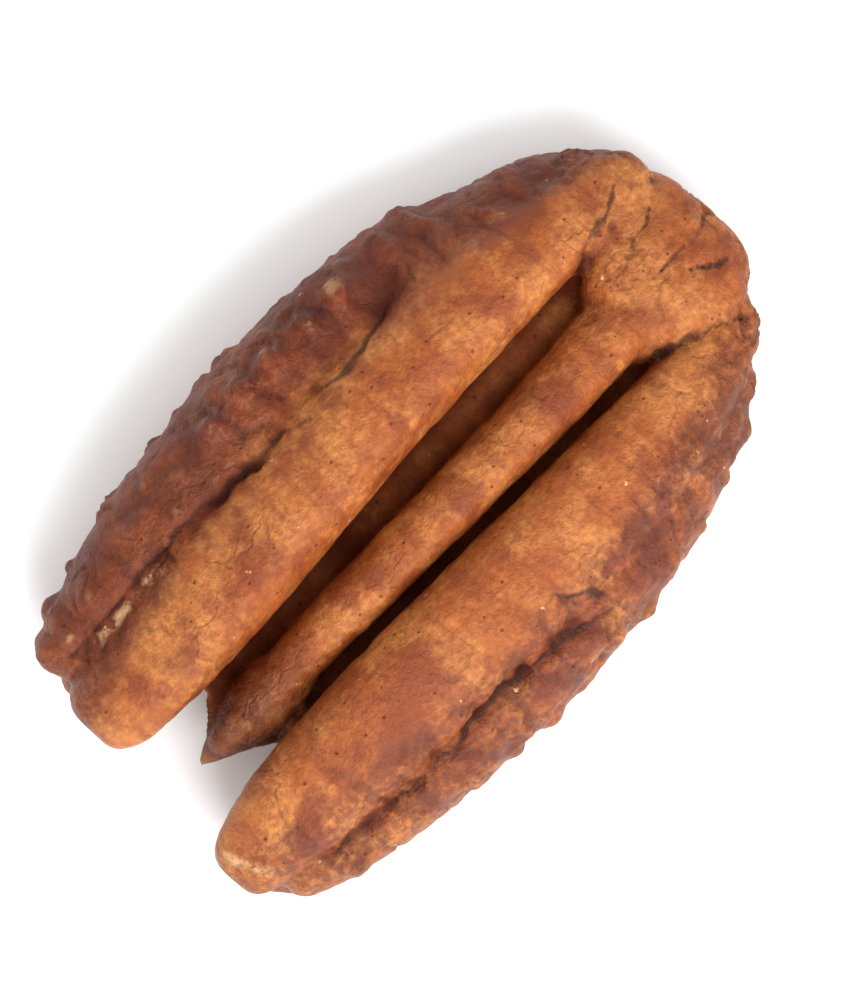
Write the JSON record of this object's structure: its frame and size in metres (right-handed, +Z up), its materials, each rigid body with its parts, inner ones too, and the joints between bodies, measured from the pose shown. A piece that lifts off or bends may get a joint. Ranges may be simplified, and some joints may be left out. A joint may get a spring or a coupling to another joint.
{
  "type": "shelled pecan half",
  "caption": "Shelled pecan half resting on its rim: grooved, wrinkled back up, lobed and valleyed flat side down, germ tip in the notched end.",
  "frame": {"origin": "middle of the underside, on the surface that the kernel rests on", "axes": "+X from the notched end to the closed apex, +Y to the left of that, +Z up out of the rounded back"},
  "size_m": [0.034, 0.0208, 0.0086],
  "materials": {
    "pecan_skin": "satin brown seed skin over pale oily flesh"
  },
  "bodies": {
    "root": {"pecan_half": "pecan_skin"}
  },
  "joints": []
}
